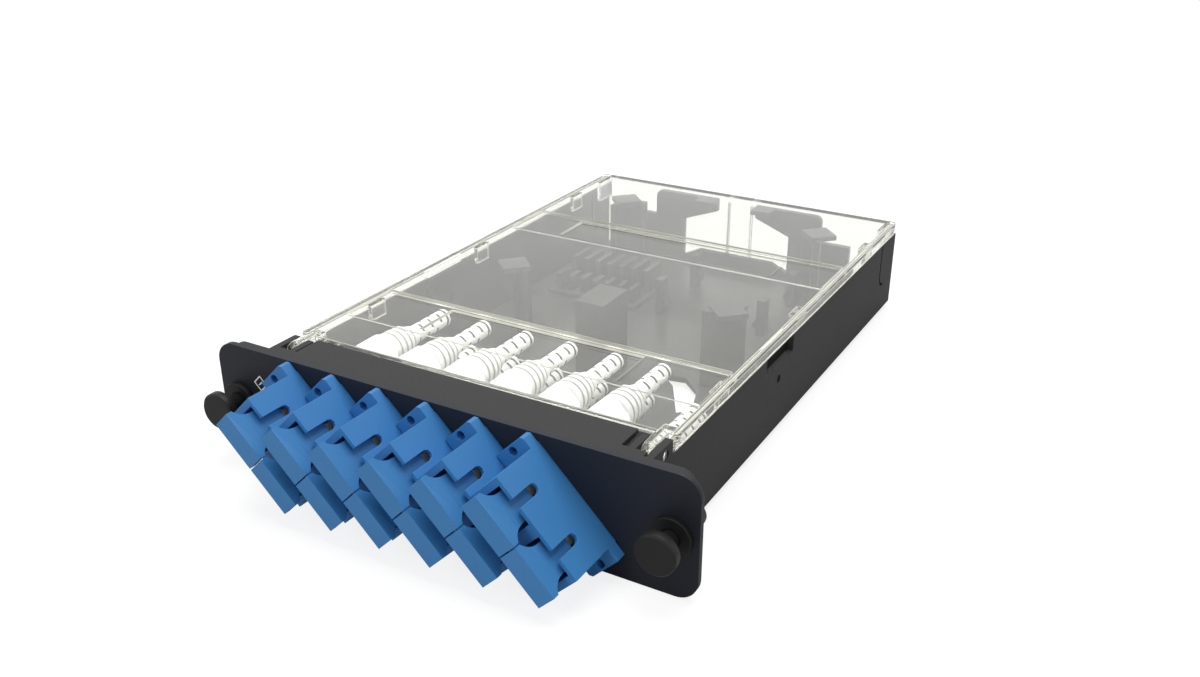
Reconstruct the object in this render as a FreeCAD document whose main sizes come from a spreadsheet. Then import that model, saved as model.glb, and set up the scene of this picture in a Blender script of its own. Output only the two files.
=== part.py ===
import FreeCAD, Part
import os
import re

import Sketcher
from FreeCAD import Placement, Rotation, Vector

# Fibre cassette: a shallow moulded tray behind a panel-mount front plate, with six tilted duplex
# adapters, their dust plugs outside, and their connectors and boots inside, under a clear hinged cover.
# Millimetres. X to the right, Y to the back, Z up. Heights are measured from the front plate's lower
# edge, and depths from the front plate's front face. Every finished piece is then placed with that face
# moved forward, so that the origin lies below the middle of the whole cassette.

DOC = FreeCAD.newDocument("fibre_cassette")
SHEET = DOC.addObject("Spreadsheet::Sheet", "dim")

SIZES = {
    # Front plate, and the tray's flange behind it
    "plate_wide": 129.5,
    "plate_high": 29.0,
    "plate_thick": 1.5,
    "plate_round": 5.1,
    "flange_inset": 2.25,
    "flange_low": 0.7,
    "flange_thick": 2.1,
    "flange_round": 4.0,
    # Tray
    "tray_inset": 12.85,
    "tray_rear": 168.9,
    "tray_low": 1.6,
    "floor_thick": 1.6,
    "side_wall": 1.8,
    "wall_top": 24.3,
    "inside_top": 26.0,
    "roof_inset": 6.1,
    "roof_top": 28.5,
    "roof_thick": 1.2,
    "roof_rear": 12.9,
    "bridge_rear": 5.4,
    "rib_play": 0.2,
    "rib_thick": 1.7,
    "rib_low": 25.0,
    "rib_top": 28.0,
    "rib_rear": 12.5,
    # Hinge of the cover
    "pivot_depth": 10.0,
    "pivot_high": 25.8,
    "pivot_radius": 1.2,
    "pivot_play": 0.05,
    "pivot_short": 0.2,
    "lug_rear": 13.2,
    "lug_top": 28.0,
    "arm_thick": 2.8,
    "arm_radius": 2.3,
    "arm_root": 19.0,
    # Cover
    "cover_front": 15.1,
    "cover_rear": 168.5,
    "cover_top": 28.1,
    "cover_thick": 1.6,
    "cover_round": 1.2,
    "cover_gap": 0.2,
    "front_gap": 1.0,
    "skirt_thick": 1.6,
    "skirt_play": 0.1,
    "back_thick": 1.5,
    "back_slit": 0.5,
    "slit_top": 2.0,
    "latch_wide": 8.0,
    "recess_deep": 0.5,
    "field_inset": 2.0,
    "front_band": 30.0,
    "front_band_long": 17.6,
    "front_label_wide": 56.0,
    "rear_band": 106.7,
    "rear_band_long": 16.9,
    "rear_label_wide": 68.0,
    "clip_thick": 1.2,
    "clip_long": 6.0,
    "clip_deep": 5.0,
    "clip_first": 41.0,
    "clip_second": 89.0,
    "clip_third": 144.0,
    "corner_clip": 159.0,
    "corner_clip_deep": 6.5,
    # Adapters
    "adapter_gap": 0.183,
    "row_room": 3.0,
    "adapter_high": 14.5,
    "tilt": 45.0,
    "body_long": 25.85,
    "body_wide": 9.25,
    "body_out": 15.5,
    "body_in": 13.0,
    "ear_long": 32.4,
    "ear_thick": 2.9,
    "ear_clip": 28.5,
    "ear_hole_pitch": 29.4,
    "ear_hole": 1.1,
    "window_gap": 0.25,
    "port_pitch": 12.7,
    "port_long": 9.6,
    "port_wide": 7.2,
    "keyway_wide": 2.4,
    "keyway_long": 7.5,
    # Latch holders and alignment sleeves inside the adapters
    "holder_play": 0.1,
    "holder_thick": 1.4,
    "barrel_radius": 2.0,
    "barrel_reach": 7.4,
    "hook_reach": 4.9,
    "hook_wide": 3.0,
    "hook_thick": 0.5,
    "hook_barb": 0.45,
    "hook_slope": 0.8,
    "sleeve_radius": 1.6,
    "sleeve_bore": 1.27,
    "sleeve_long": 11.4,
    "sleeve_play": 0.04,
    # Dust plugs
    "plug_out": 21.2,
    "plug_long": 12.35,
    "plug_wide": 5.2,
    "plug_lip": 1.6,
    "plug_shank": 7.7,
    "plug_in": 6.6,
    "grip_radius": 4.4,
    "grip_offset": 2.1,
    # Connectors and boots
    "connector_front": 1.6,
    "nose_long": 7.4,
    "nose_wide": 6.0,
    "socket_play": 0.2,
    "grip_front": 6.4,
    "grip_rear": 33.0,
    "grip_long": 8.9,
    "grip_wide": 7.0,
    "key_wide": 2.1,
    "key_high": 0.8,
    "key_short": 0.4,
    "rib_first": 3.0,
    "rib_pitch": 3.0,
    "rib_deep": 0.5,
    "ferrule_radius": 1.25,
    "ferrule_gap": 0.3,
    "boot_rear": 57.0,
    "boot_root": 6.2,
    "boot_tail": 36.0,
    "boot_thick": 3.1,
    "boot_step": 46.0,
    "boot_thin": 2.6,
    # Push-pull latches at both ends of the front plate
    "latch_inset": 6.0,
    "collar_radius": 4.6,
    "collar_thick": 1.3,
    "neck_radius": 3.3,
    "barrel_outer": 3.05,
    "barrel_end": 9.6,
    "barrel_split": 0.5,
    "split_start": 0.8,
    "neck_play": 0.05,
    "pin_radius": 2.1,
    "pin_play": 0.06,
    "pin_end": 7.0,
    "knob_front": 8.2,
    "knob_radius": 4.7,
    "knob_thick": 2.2,
    "knob_chamfer": 0.4,
    # Splice comb
    "comb_left": -42.5,
    "comb_front": 115.0,
    "comb_long": 24.0,
    "comb_base": 1.4,
    "tooth_first": -40.0,
    "tooth_pitch": 4.3,
    "tooth_thick": 1.7,
    "comb_edge": 1.65,
    "front_tooth_place": 2.0,
    "front_tooth_long": 6.0,
    "front_tooth_high": 6.3,
    "rear_tooth_place": 12.0,
    "rear_tooth_long": 10.0,
    "rear_tooth_high": 8.8,
    # Cable guides that stand on the tray's floor
    "guide_place": 33.4,
    "front_guide": 82.6,
    "rear_guide": 150.0,
    "guide_shift": 6.3,
    "guide_radius": 9.0,
    "guide_wall": 1.8,
    "tab_side": 8.0,
    "tab_thick": 1.5,
    "pillar_place": 74.5,
    "pillar_wide": 8.6,
    "pillar_long": 13.3,
    "post_left": -4.6,
    "post_right": 28.6,
    "post_front": 119.5,
    "post_rear": 144.0,
    "post_wide": 3.6,
    "post_thick": 2.4,
    "post_high": 11.0,
    "post_nose": 1.5,
    "nose_low": 2.0,
    "nose_tip": 2.6,
    "nose_top": 5.5,
    # Rear wall of the tray, with the cable entry
    "back_wall": 163.7,
    "back_wall_thick": 1.8,
    "entry_half": 18.7,
    "entry_step": 17.5,
    "entry_neck_high": 22.0,
    "entry_neck": 6.8,
    "entry_sill": 7.8,
    "entry_foot": 1.8,
    "entry_chamfer": 5.7,
    "hook_end": 29.2,
    "hook_round": 2.0,
    "low_end": 39.0,
    "entry_tab_long": 6.5,
    "entry_tab_deep": 4.4,
    # Openings in the side walls
    "notch_front": 64.4,
    "notch_rear": 82.0,
    "notch_low": 19.8,
    "strip_thick": 1.1,
    "strip_over": 1.6,
    "strip_top": 22.4,
    "side_hole_depth": 73.1,
    "side_hole_high": 15.6,
    "side_hole": 1.15,
    "finger_slot": 155.4,
    "finger_slot_wide": 0.8,
    "finger_slot_low": 10.2,
    "finger_hook": 4.2,
    # Openings in the floor: a bent pass for fibre, given by its corners, and two small holes
    "well_past": 2.0,
    "pass_ax": 15.6,
    "pass_ay": 81.2,
    "pass_bx": 21.9,
    "pass_by": 82.4,
    "pass_cx": 27.8,
    "pass_cy": 77.0,
    "pass_dx": 31.5,
    "pass_dy": 66.0,
    "pass_ex": 28.3,
    "pass_ey": 63.5,
    "pass_fx": 21.0,
    "pass_fy": 76.4,
    "corner_hole_inset": 5.5,
    "corner_hole_depth": 100.5,
    "corner_hole": 1.8,
    "round_hole_place": -14.5,
    "round_hole_depth": 111.7,
    "round_hole": 1.15,
}
COMB_TEETH = 7
GRIP_RIBS = 2
# Small rounds that repeat get flat sides, which keeps the model light: fewer on what the adapters hide
LIGHT_SIDES = 8
HIDDEN_SIDES = 6
# How far a cutting tool runs past the face that it goes through, and how far joined pieces share material
PAST = 1
SHARED = 0.5
# Two places closer than this are one
SAME = 0.001

# Places worked out from the sizes
PLATE_FRONT = "((plug_out - tray_rear) / 2)"
PLATE_BACK = "plate_thick"
FLANGE_BACK = "(plate_thick + flange_thick)"
FLOOR_TOP = "(tray_low + floor_thick)"
TRAY_HALF = "(plate_wide / 2 - tray_inset)"
TRAY_INNER = "(plate_wide / 2 - tray_inset - side_wall)"
ROOF_HALF = f"({TRAY_INNER} - roof_inset)"
COVER_UNDER = "(cover_top - cover_thick)"
COVER_INNER = f"({TRAY_INNER} - cover_gap)"
ARM_INNER = f"({COVER_INNER} - arm_thick)"
LATCH_PLACE = "(plate_wide / 2 - latch_inset)"
ADAPTER_PITCH = "((body_wide + adapter_gap) / sin(tilt))"
BODY_HALF_SPAN = "(((body_long + body_wide) / 2 + 2 * window_gap) * sin(tilt))"
WELL_BACK = "(body_in + well_past)"
ADAPTER_MIDDLE = "((body_in - body_out) / 2)"
PLANES = {
    "XY": (Rotation(), Vector(0, 0, 1), "z"),
    "XZ": (Rotation(Vector(1, 0, 0), 90), Vector(0, 1, 0), "y"),
    "YZ": (Rotation(Vector(1, 1, 1), 120), Vector(1, 0, 0), "x"),
}
AXES = {
    "X": Rotation(Vector(0, 1, 0), 90),
    "Y": Rotation(Vector(1, 0, 0), -90),
    "Z": Rotation(),
}
WORD = re.compile(r"[a-z][a-z_]+")


# Helpers: an expression is written with the sheet's plain names
def fill_sheet():
    for row, (name, value) in enumerate(SIZES.items(), 1):
        SHEET.set(f"A{row}", name)
        SHEET.set(f"B{row}", str(value))
        SHEET.setAlias(f"B{row}", name)
    DOC.recompute()


def bound(text):
    return WORD.sub(lambda word: "dim." + word[0] if word[0] in SIZES else word[0], str(text))


def number(text):
    value = SHEET.evalExpression(bound(text))
    return float(getattr(value, "Value", value))


def bind(thing, path, text):
    thing.setExpression(path, bound(text))


def bind_base(thing, x="0", y="0", z="0"):
    for letter, text in zip("xyz", (x, y, z)):
        bind(thing, f"Placement.Base.{letter}", text)


def box(x, y, z):
    block = DOC.addObject("Part::Box", "block")
    for side, (low, high) in zip(("Length", "Width", "Height"), (x, y, z)):
        bind(block, side, f"({high}) - ({low})")
    bind_base(block, x[0], y[0], z[0])
    return block


def centred_box(x, y, z):
    """A box that is x wide about the middle, y = (low, high), and z high about the middle."""
    return box((f"-({x}) / 2", f"({x}) / 2"), y, (f"-({z}) / 2", f"({z}) / 2"))


def rod(axis, radius, span, x="0", y="0", z="0"):
    """A cylinder along an axis, from span[0] to span[1] along it."""
    cylinder = DOC.addObject("Part::Cylinder", "rod")
    cylinder.Placement = Placement(Vector(), AXES[axis])
    bind(cylinder, "Radius", radius)
    bind(cylinder, "Height", f"({span[1]}) - ({span[0]})")
    place = {"X": x, "Y": y, "Z": z}
    place[axis] = span[0]
    bind_base(cylinder, place["X"], place["Y"], place["Z"])
    return cylinder


def light_rod(axis, radius, span, x="0", y="0", z="0", tilted=False, sides=LIGHT_SIDES):
    """A rod along an axis with flat sides, whose corners lie at the radius."""
    prism_rod = DOC.addObject("Part::Prism", "light_rod")
    prism_rod.Polygon = sides
    turn = Rotation(Vector(0, 1, 0), number("tilt") if tilted else 0)
    prism_rod.Placement = Placement(Vector(), turn * AXES[axis])
    bind(prism_rod, "Circumradius", radius)
    bind(prism_rod, "Height", f"({span[1]}) - ({span[0]})")
    place = {"X": x, "Y": y, "Z": z}
    place[axis] = span[0]
    bind_base(prism_rod, place["X"], place["Y"], place["Z"])
    return prism_rod


def draw_outline(sketch, points):
    """Draws a closed outline whose corners are held by a distance each way from the sketch's origin."""
    spots = [(number(u), number(v)) for u, v in points]
    for this, after in zip(spots, spots[1:] + spots[:1]):
        sketch.addGeometry(Part.LineSegment(Vector(*this, 0), Vector(*after, 0)), False)
    count = len(points)
    for line in range(count):
        sketch.addConstraint(Sketcher.Constraint("Coincident", line, 2, (line + 1) % count, 1))
    for line, (corner, spot) in enumerate(zip(points, spots)):
        for kind, text, value in zip(("DistanceX", "DistanceY"), corner, spot):
            index = sketch.addConstraint(Sketcher.Constraint(kind, -1, 1, line, 1, value))
            bind(sketch, f"Constraints[{index}]", text)


def prism(plane, points, span, shift=("0", "0", "0")):
    """An outline in a plane, drawn out from span[0] to span[1] along the plane's normal axis."""
    rotation, direction, letter = PLANES[plane]
    sketch = DOC.addObject("Sketcher::SketchObject", "outline")
    draw_outline(sketch, points)
    sketch.Placement = Placement(Vector(), rotation)
    base = dict(zip("xyz", shift))
    base[letter] = span[0]
    bind_base(sketch, **base)
    drawn = DOC.addObject("Part::Extrusion", "drawn")
    drawn.Base = sketch
    drawn.DirMode = "Custom"
    drawn.Dir = direction
    drawn.Solid = True
    bind(drawn, "LengthFwd", f"({span[1]}) - ({span[0]})")
    return drawn


def fuse(pieces):
    joined = DOC.addObject("Part::MultiFuse", "joined")
    joined.Shapes = pieces
    joined.Refine = True
    return joined


def cut(base, tools):
    whole = DOC.addObject("Part::Cut", "whole")
    whole.Base = base
    whole.Tool = tools[0] if len(tools) == 1 else fuse(tools)
    whole.Refine = True
    return whole


def common(base, tool):
    kept = DOC.addObject("Part::Common", "kept")
    kept.Base = base
    kept.Tool = tool
    return kept


def round_edges(base, radius, chosen):
    """Rounds each edge of base that chosen(edge) picks."""
    DOC.recompute()
    size = number(radius)
    fillet = DOC.addObject("Part::Fillet", "rounded")
    fillet.Base = base
    fillet.Edges = [(index, size, size) for index, edge in enumerate(base.Shape.Edges, 1) if chosen(edge)]
    return fillet


def runs_along(edge, letter):
    """Whether an edge is straight and lies along one axis."""
    if not isinstance(edge.Curve, Part.Line):
        return False
    return abs(abs(getattr(edge.Curve.Direction, letter)) - 1) < 1e-6


def turned(label, profile):
    """A body turned about its own Y axis from an outline of (radius, depth) corners."""
    body = DOC.addObject("PartDesign::Body", label)
    plane = next(p for p in body.Origin.OriginFeatures if p.Role == "XY_Plane")
    sketch = body.newObject("Sketcher::SketchObject", label + "_profile")
    sketch.AttachmentSupport = (plane, [""])
    sketch.MapMode = "FlatFace"
    draw_outline(sketch, profile)
    turn = body.newObject("PartDesign::Revolution", label + "_turn")
    turn.Profile = sketch
    turn.ReferenceAxis = (sketch, ["V_Axis"])
    turn.Angle = 360
    body.Tip = turn
    return body


def count_adapters():
    """As many adapters as fit between the side walls, with some room beside the row."""
    spare = number(f"2 * ({TRAY_INNER} - row_room - {BODY_HALF_SPAN})")
    return int(spare / number(ADAPTER_PITCH)) + 1


fill_sheet()
ADAPTERS = count_adapters()
FINISHED = []


def finish(piece, label, x="0", z="0", tilted=False):
    """Names a piece and puts it in its place behind, or in front of, the front plate."""
    if tilted:
        piece.Placement = Placement(Vector(), Rotation(Vector(0, 1, 0), number("tilt")))
    bind_base(piece, x, PLATE_FRONT, z)
    piece.Label = label
    FINISHED.append(piece)


def both_sides(make):
    """Makes a thing on the right (+1) and on the left (-1)."""
    return [make(1), make(-1)]


def side_span(side, inner, outer):
    """The X range from inner to outer on one side of the middle."""
    return (inner, outer) if side > 0 else (f"-({outer})", f"-({inner})")


def adapter_place(index):
    return f"{index - (ADAPTERS - 1) / 2} * {ADAPTER_PITCH}"


# Front plate and the windows that the adapters pass through
def leaning_block(half_long, half_wide, span, x):
    """A block that leans like the adapters, given by half its length and width, over a depth range."""
    points = []
    for along, across in ((1, 1), (-1, 1), (-1, -1), (1, -1)):
        u = f"{along} * {half_long} * cos(tilt) + {across} * {half_wide} * sin(tilt)"
        v = f"{across} * {half_wide} * cos(tilt) - {along} * {half_long} * sin(tilt)"
        points.append((u, v))
    return prism("XZ", points, span, (x, "0", "adapter_high"))


def adapter_windows(span):
    """Six windows, which run into one another, over a depth range."""
    half_long = "(body_long / 2 + window_gap)"
    half_wide = "(body_wide / 2 + window_gap)"
    return [leaning_block(half_long, half_wide, span, adapter_place(index)) for index in range(ADAPTERS)]


def latch_holes(span):
    def hole(side):
        return rod("Y", "neck_radius + neck_play", span, x=f"{side} * {LATCH_PLACE}", z="adapter_high")

    return both_sides(hole)


def rounded_panel(half_wide, low, high, span, radius):
    panel = box((f"-({half_wide})", half_wide), span, (low, high))
    return round_edges(panel, radius, lambda edge: runs_along(edge, "y"))


def front_plate():
    panel = rounded_panel("plate_wide / 2", "0", "plate_high", ("0", PLATE_BACK), "plate_round")
    through = (f"-{PAST}", f"{PLATE_BACK} + {PAST}")
    finish(cut(panel, adapter_windows(through) + latch_holes(through)), "front_plate")


# Tray
def tray_walls():
    """Floor, sides, front flange, the roof over the connectors, and what carries the cover's hinge."""
    floor = box((f"-{TRAY_HALF}", TRAY_HALF), (PLATE_BACK, "tray_rear"), ("tray_low", FLOOR_TOP))
    roof_high = ("roof_top - roof_thick", "roof_top")
    roof = box((f"-{ROOF_HALF}", ROOF_HALF), (PLATE_BACK, "roof_rear"), roof_high)
    flange_half = "plate_wide / 2 - flange_inset"
    flange = rounded_panel(flange_half, "flange_low", "roof_top", (PLATE_BACK, FLANGE_BACK), "flange_round")
    wall_high = ("tray_low", "wall_top")
    lug_high = ("tray_low", "lug_top")

    def wall(side):
        return box(side_span(side, TRAY_INNER, TRAY_HALF), (PLATE_BACK, "tray_rear"), wall_high)

    def lug(side):
        return box(side_span(side, TRAY_INNER, TRAY_HALF), (PLATE_BACK, "lug_rear"), lug_high)

    def strip(side):
        span = side_span(side, f"{TRAY_INNER} - strip_thick", TRAY_INNER)
        deep = ("notch_front - strip_over", "notch_rear + strip_over")
        return box(span, deep, ("tray_low", "strip_top"))

    def bridge(side):
        return box(side_span(side, ROOF_HALF, TRAY_INNER), (PLATE_BACK, "bridge_rear"), roof_high)

    def rib(side):
        span = side_span(side, f"{ARM_INNER} - rib_play - rib_thick", f"{ARM_INNER} - rib_play")
        return box(span, (PLATE_BACK, "rib_rear"), ("rib_low", "rib_top"))

    pieces = [floor, roof, flange]
    for make in (wall, lug, strip, bridge, rib):
        pieces += both_sides(make)
    return pieces


def rear_wall():
    """The wall with the cable entry: a wide opening whose neck leads up between two hooked ends."""
    right = [
        ("low_end", FLOOR_TOP),
        ("low_end", "entry_step"),
        ("hook_end", "entry_step"),
        ("hook_end", "inside_top"),
        ("entry_neck", "inside_top"),
        ("entry_neck", "entry_neck_high"),
        ("entry_half", "entry_step"),
        ("entry_half", f"{FLOOR_TOP} + entry_foot"),
        ("entry_half - entry_chamfer", "entry_sill"),
    ]
    left = [(f"-({x})", z) for x, z in reversed(right)]
    span = ("back_wall", "back_wall + back_wall_thick")
    wall = prism("XZ", right + left, span)
    hook_place = number("hook_end")
    hook_high = number("inside_top")

    def is_hook_corner(edge):
        away = Vector(abs(edge.CenterOfMass.x) - hook_place, 0, edge.CenterOfMass.z - hook_high)
        return runs_along(edge, "y") and away.Length < SAME

    wall = round_edges(wall, "hook_round", is_hook_corner)

    def tab(side):
        along = side_span(side, "entry_neck", "entry_neck + entry_tab_long")
        deep = ("back_wall - entry_tab_deep", "back_wall")
        return box(along, deep, ("inside_top - tab_thick", "inside_top"))

    return [wall] + both_sides(tab)


def quarter_guide(side, depth, facing):
    """A quarter-round wall on the floor, with a square tab on its corner turned to hold fibre down."""
    corner_x = f"{side} * guide_place"
    height = (FLOOR_TOP, "inside_top - tab_thick / 2")
    arc_x = f"{side} * (guide_place - guide_shift)"
    arc_y = f"{depth} + {facing} * guide_shift"
    ring = cut(
        rod("Z", "guide_radius", height, x=arc_x, y=arc_y),
        [rod("Z", "guide_radius - guide_wall", height, x=arc_x, y=arc_y)],
    )
    ways = {1: (arc_x, f"{arc_x} + guide_radius"), -1: (f"{arc_x} - guide_radius", arc_x)}
    deep = {1: (arc_y, f"{arc_y} + guide_radius"), -1: (f"{arc_y} - guide_radius", arc_y)}
    quarter = common(ring, box(ways[side], deep[-facing], height))
    half = "tab_side * sqrt(0.5)"
    diamond = [(half, "0"), ("0", half), (f"-{half}", "0"), ("0", f"-{half}")]
    tab = prism("XY", diamond, ("inside_top - tab_thick", "inside_top"), (corner_x, depth, "0"))
    return [quarter, tab]


def snap_post(side, x, depth):
    """A post whose nose, a little above the floor, holds down the edge of a splice insert."""
    foot = f"{x} - {side} * post_thick / 2"
    head = f"{x} + {side} * post_thick / 2"
    nose = f"{head} + {side} * post_nose"
    top = f"{FLOOR_TOP} + post_high"
    outline = [
        (foot, FLOOR_TOP),
        (head, FLOOR_TOP),
        (head, f"{FLOOR_TOP} + nose_low"),
        (nose, f"{FLOOR_TOP} + nose_tip"),
        (head, f"{FLOOR_TOP} + nose_top"),
        (head, top),
        (foot, top),
    ]
    return prism("XZ", outline, (f"{depth} - post_wide / 2", f"{depth} + post_wide / 2"))


def floor_guides():
    pieces = []
    for side in (1, -1):
        pieces += quarter_guide(side, "front_guide", 1)
        pieces += quarter_guide(side, "rear_guide", -1)
    for depth in ("post_front", "post_rear"):
        pieces.append(snap_post(1, "post_left", depth))
        pieces.append(snap_post(-1, "post_right", depth))
    pillar = box(
        ("-pillar_wide / 2", "pillar_wide / 2"),
        ("pillar_place - pillar_long / 2", "pillar_place + pillar_long / 2"),
        (FLOOR_TOP, "inside_top"),
    )
    return pieces + [pillar]


def floor_openings():
    """The well under the adapters, a fibre pass behind the last boot, and two small holes."""
    below = (f"tray_low - {PAST}", f"{FLOOR_TOP} + {PAST}")
    row_half = f"({(ADAPTERS - 1) / 2} * {ADAPTER_PITCH} + {BODY_HALF_SPAN})"
    well = box((f"-{row_half}", row_half), (FLANGE_BACK, WELL_BACK), below)
    bent_pass = prism("XY", [(f"pass_{corner}x", f"pass_{corner}y") for corner in "abcdef"], below)
    triangle = [("corner_hole", "0"), ("0", "corner_hole"), ("-corner_hole", "-corner_hole / 2")]
    corner_place = f"-({TRAY_INNER} - corner_hole_inset)"
    corner = prism("XY", triangle, below, (corner_place, "corner_hole_depth", "0"))
    round_hole = light_rod("Z", "round_hole", below, x="round_hole_place", y="round_hole_depth")
    return [well, bent_pass, corner, round_hole]


def finger_slit(span):
    """The slit that frees the wall's rear end: straight down from the top, then hooked to the rear."""
    stem = box(
        span,
        ("finger_slot", "finger_slot + finger_slot_wide"),
        ("finger_slot_low + finger_hook", f"wall_top + {PAST}"),
    )
    middle = {"y": "finger_slot + finger_hook", "z": "finger_slot_low + finger_hook"}
    inside = rod("X", "finger_hook - finger_slot_wide", span, **middle)
    ring = cut(rod("X", "finger_hook", span, **middle), [inside])
    corner = box(
        span,
        ("finger_slot", "finger_slot + finger_hook"),
        ("finger_slot_low", "finger_slot_low + finger_hook"),
    )
    return [stem, common(ring, corner)]


def wall_openings(side):
    over_strip = side_span(side, f"{TRAY_INNER} - strip_thick - {PAST}", f"{TRAY_HALF} + {PAST}")
    notch = box(
        side_span(side, TRAY_INNER, f"{TRAY_HALF} + {PAST}"),
        ("notch_front", "notch_rear"),
        ("notch_low", f"wall_top + {PAST}"),
    )
    hole = light_rod("X", "side_hole", over_strip, y="side_hole_depth", z="side_hole_high")
    pivot = rod("X", "pivot_radius + pivot_play", over_strip, y="pivot_depth", z="pivot_high")
    return [notch, hole, pivot] + finger_slit(over_strip)


def base_tray():
    solid = fuse(tray_walls() + rear_wall() + floor_guides())
    through = ("0", FLANGE_BACK)
    openings = adapter_windows(through) + latch_holes((f"{PLATE_BACK} - {PAST}", f"{FLANGE_BACK} + {PAST}"))
    openings += floor_openings() + wall_openings(1) + wall_openings(-1)
    finish(cut(solid, openings), "base_tray")


# Cover
def cover():
    top = box((f"-{TRAY_HALF}", TRAY_HALF), ("cover_front", "cover_rear"), (COVER_UNDER, "cover_top"))
    top = round_edges(top, "cover_round", lambda edge: runs_along(edge, "z"))
    back_low = f"{FLOOR_TOP} + cover_gap"
    back_deep = ("cover_rear - back_thick", "cover_rear")
    back = box((f"-{COVER_INNER}", COVER_INNER), back_deep, (back_low, COVER_UNDER))
    pieces = [top, back] + band_undersides()
    for side in (1, -1):
        pieces += cover_side(side)
    finish(cut(fuse(pieces), band_recesses() + back_slits(back_low)), "cover")


def cover_side(side):
    """One side's skirt on the tray's wall, the hinge arm with its pin, and the clips inside the wall."""
    skirt = box(
        side_span(side, f"{TRAY_HALF} - skirt_thick", TRAY_HALF),
        ("lug_rear + front_gap", "cover_rear - cover_round"),
        ("wall_top + skirt_play", COVER_UNDER),
    )
    arm_span = side_span(side, ARM_INNER, COVER_INNER)
    eye = rod("X", "arm_radius", arm_span, y="pivot_depth", z="pivot_high")
    bar = box(arm_span, ("pivot_depth", "arm_root"), ("pivot_high - arm_radius", "cover_top"))
    pin_span = side_span(side, f"{COVER_INNER} - {SHARED}", f"{TRAY_HALF} - pivot_short")
    pin = rod("X", "pivot_radius", pin_span, y="pivot_depth", z="pivot_high")
    clips = []
    clip_span = side_span(side, f"{COVER_INNER} - clip_thick", COVER_INNER)
    for place in ("clip_first", "clip_second", "clip_third"):
        along = (f"{place} - clip_long / 2", f"{place} + clip_long / 2")
        clips.append(box(clip_span, along, (f"{COVER_UNDER} - clip_deep", COVER_UNDER)))
    corner_high = (f"{COVER_UNDER} - corner_clip_deep", COVER_UNDER)
    corner = box(clip_span, ("corner_clip", "cover_rear"), corner_high)
    return [skirt, eye, bar, pin, corner] + clips


# Start, length and label field of the two shallow bands across the cover
BANDS = (
    ("front_band", "front_band_long", "front_label_wide"),
    ("rear_band", "rear_band_long", "rear_label_wide"),
)


def band_undersides():
    """The sheet keeps its thickness under a band, so its underside steps down there."""
    across = (f"-{COVER_INNER}", COVER_INNER)
    high = (f"{COVER_UNDER} - recess_deep", COVER_UNDER)
    return [box(across, (start, f"{start} + {deep}"), high) for start, deep, wide in BANDS]


def band_recesses():
    """The bands' recesses, each with a deeper bare field for a label."""
    recesses = []
    for start, deep, wide in BANDS:
        across = (f"-{COVER_INNER}", COVER_INNER)
        recesses.append(
            box(across, (start, f"{start} + {deep}"), ("cover_top - recess_deep", f"cover_top + {PAST}"))
        )
        field = (f"-{wide} / 2", f"{wide} / 2")
        along = (f"{start} + field_inset", f"{start} + {deep} - field_inset")
        recesses.append(box(field, along, ("cover_top - 2 * recess_deep", f"cover_top + {PAST}")))
    return recesses


def back_slits(back_low):
    """Two slits in the cover's rear wall, which leave a springy tongue between them."""

    def slit(side):
        span = side_span(side, "latch_wide / 2 - back_slit / 2", "latch_wide / 2 + back_slit / 2")
        through = (f"cover_rear - back_thick - {PAST}", f"cover_rear + {PAST}")
        return box(span, through, (f"{back_low} - {PAST}", f"{COVER_UNDER} - slit_top"))

    return both_sides(slit)


# Adapters and what sits in their ports
def port_shift(port):
    """How far a port lies from its adapter's middle: +1 is the upper port, -1 the lower one."""
    return f"{-port} * port_pitch / 2"


def port_x(index, port):
    return f"{adapter_place(index)} + {port_shift(port)} * cos(tilt)"


def port_z(port):
    return f"adapter_high - {port_shift(port)} * sin(tilt)"


def keyways(port):
    """The two slots for connector keys in the upper wall: the outer ends round, the inner square."""
    middle = port_shift(port)
    wide = (f"{middle} - keyway_wide / 2", f"{middle} + keyway_wide / 2")
    high = ("0", "body_wide")
    round_end = "-body_out + keyway_long - keyway_wide / 2"
    outer = box(wide, (f"-body_out - {PAST}", round_end), high)
    inner = box(wide, ("body_in - keyway_long", f"body_in + {PAST}"), high)
    return [outer, light_rod("Z", "keyway_wide / 2", high, x=middle, y=round_end), inner]


def adapter(index):
    """A duplex housing: body and ears clipped level at top and bottom, ports, key slots and ear holes."""
    body = centred_box("body_long", ("-body_out", "body_in"), "body_wide")
    ears = centred_box("ear_long", ("-ear_thick", "0"), "body_wide")
    slab = centred_box("2 * ear_long", (f"-body_out - {PAST}", f"body_in + {PAST}"), "ear_clip")
    slab.Placement = Placement(Vector(), Rotation(Vector(0, 1, 0), -number("tilt")))
    bind_base(
        slab,
        "-ear_long * cos(tilt) + ear_clip / 2 * sin(tilt)",
        f"-body_out - {PAST}",
        "-ear_long * sin(tilt) - ear_clip / 2 * cos(tilt)",
    )
    shell = common(fuse([body, ears]), slab)
    tools = []
    for port in (1, -1):
        middle = port_shift(port)
        along = (f"{middle} - port_long / 2", f"{middle} + port_long / 2")
        through = (f"-body_out - {PAST}", f"body_in + {PAST}")
        tools.append(box(along, through, ("-port_wide / 2", "port_wide / 2")))
        tools += keyways(port)
        ear_span = (f"-ear_thick - {PAST}", f"{PAST}")
        tools.append(light_rod("Y", "ear_hole", ear_span, x=f"{port} * ear_hole_pitch / 2"))
    finish(cut(shell, tools), f"adapter_{index + 1}", adapter_place(index), "adapter_high", tilted=True)


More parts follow.
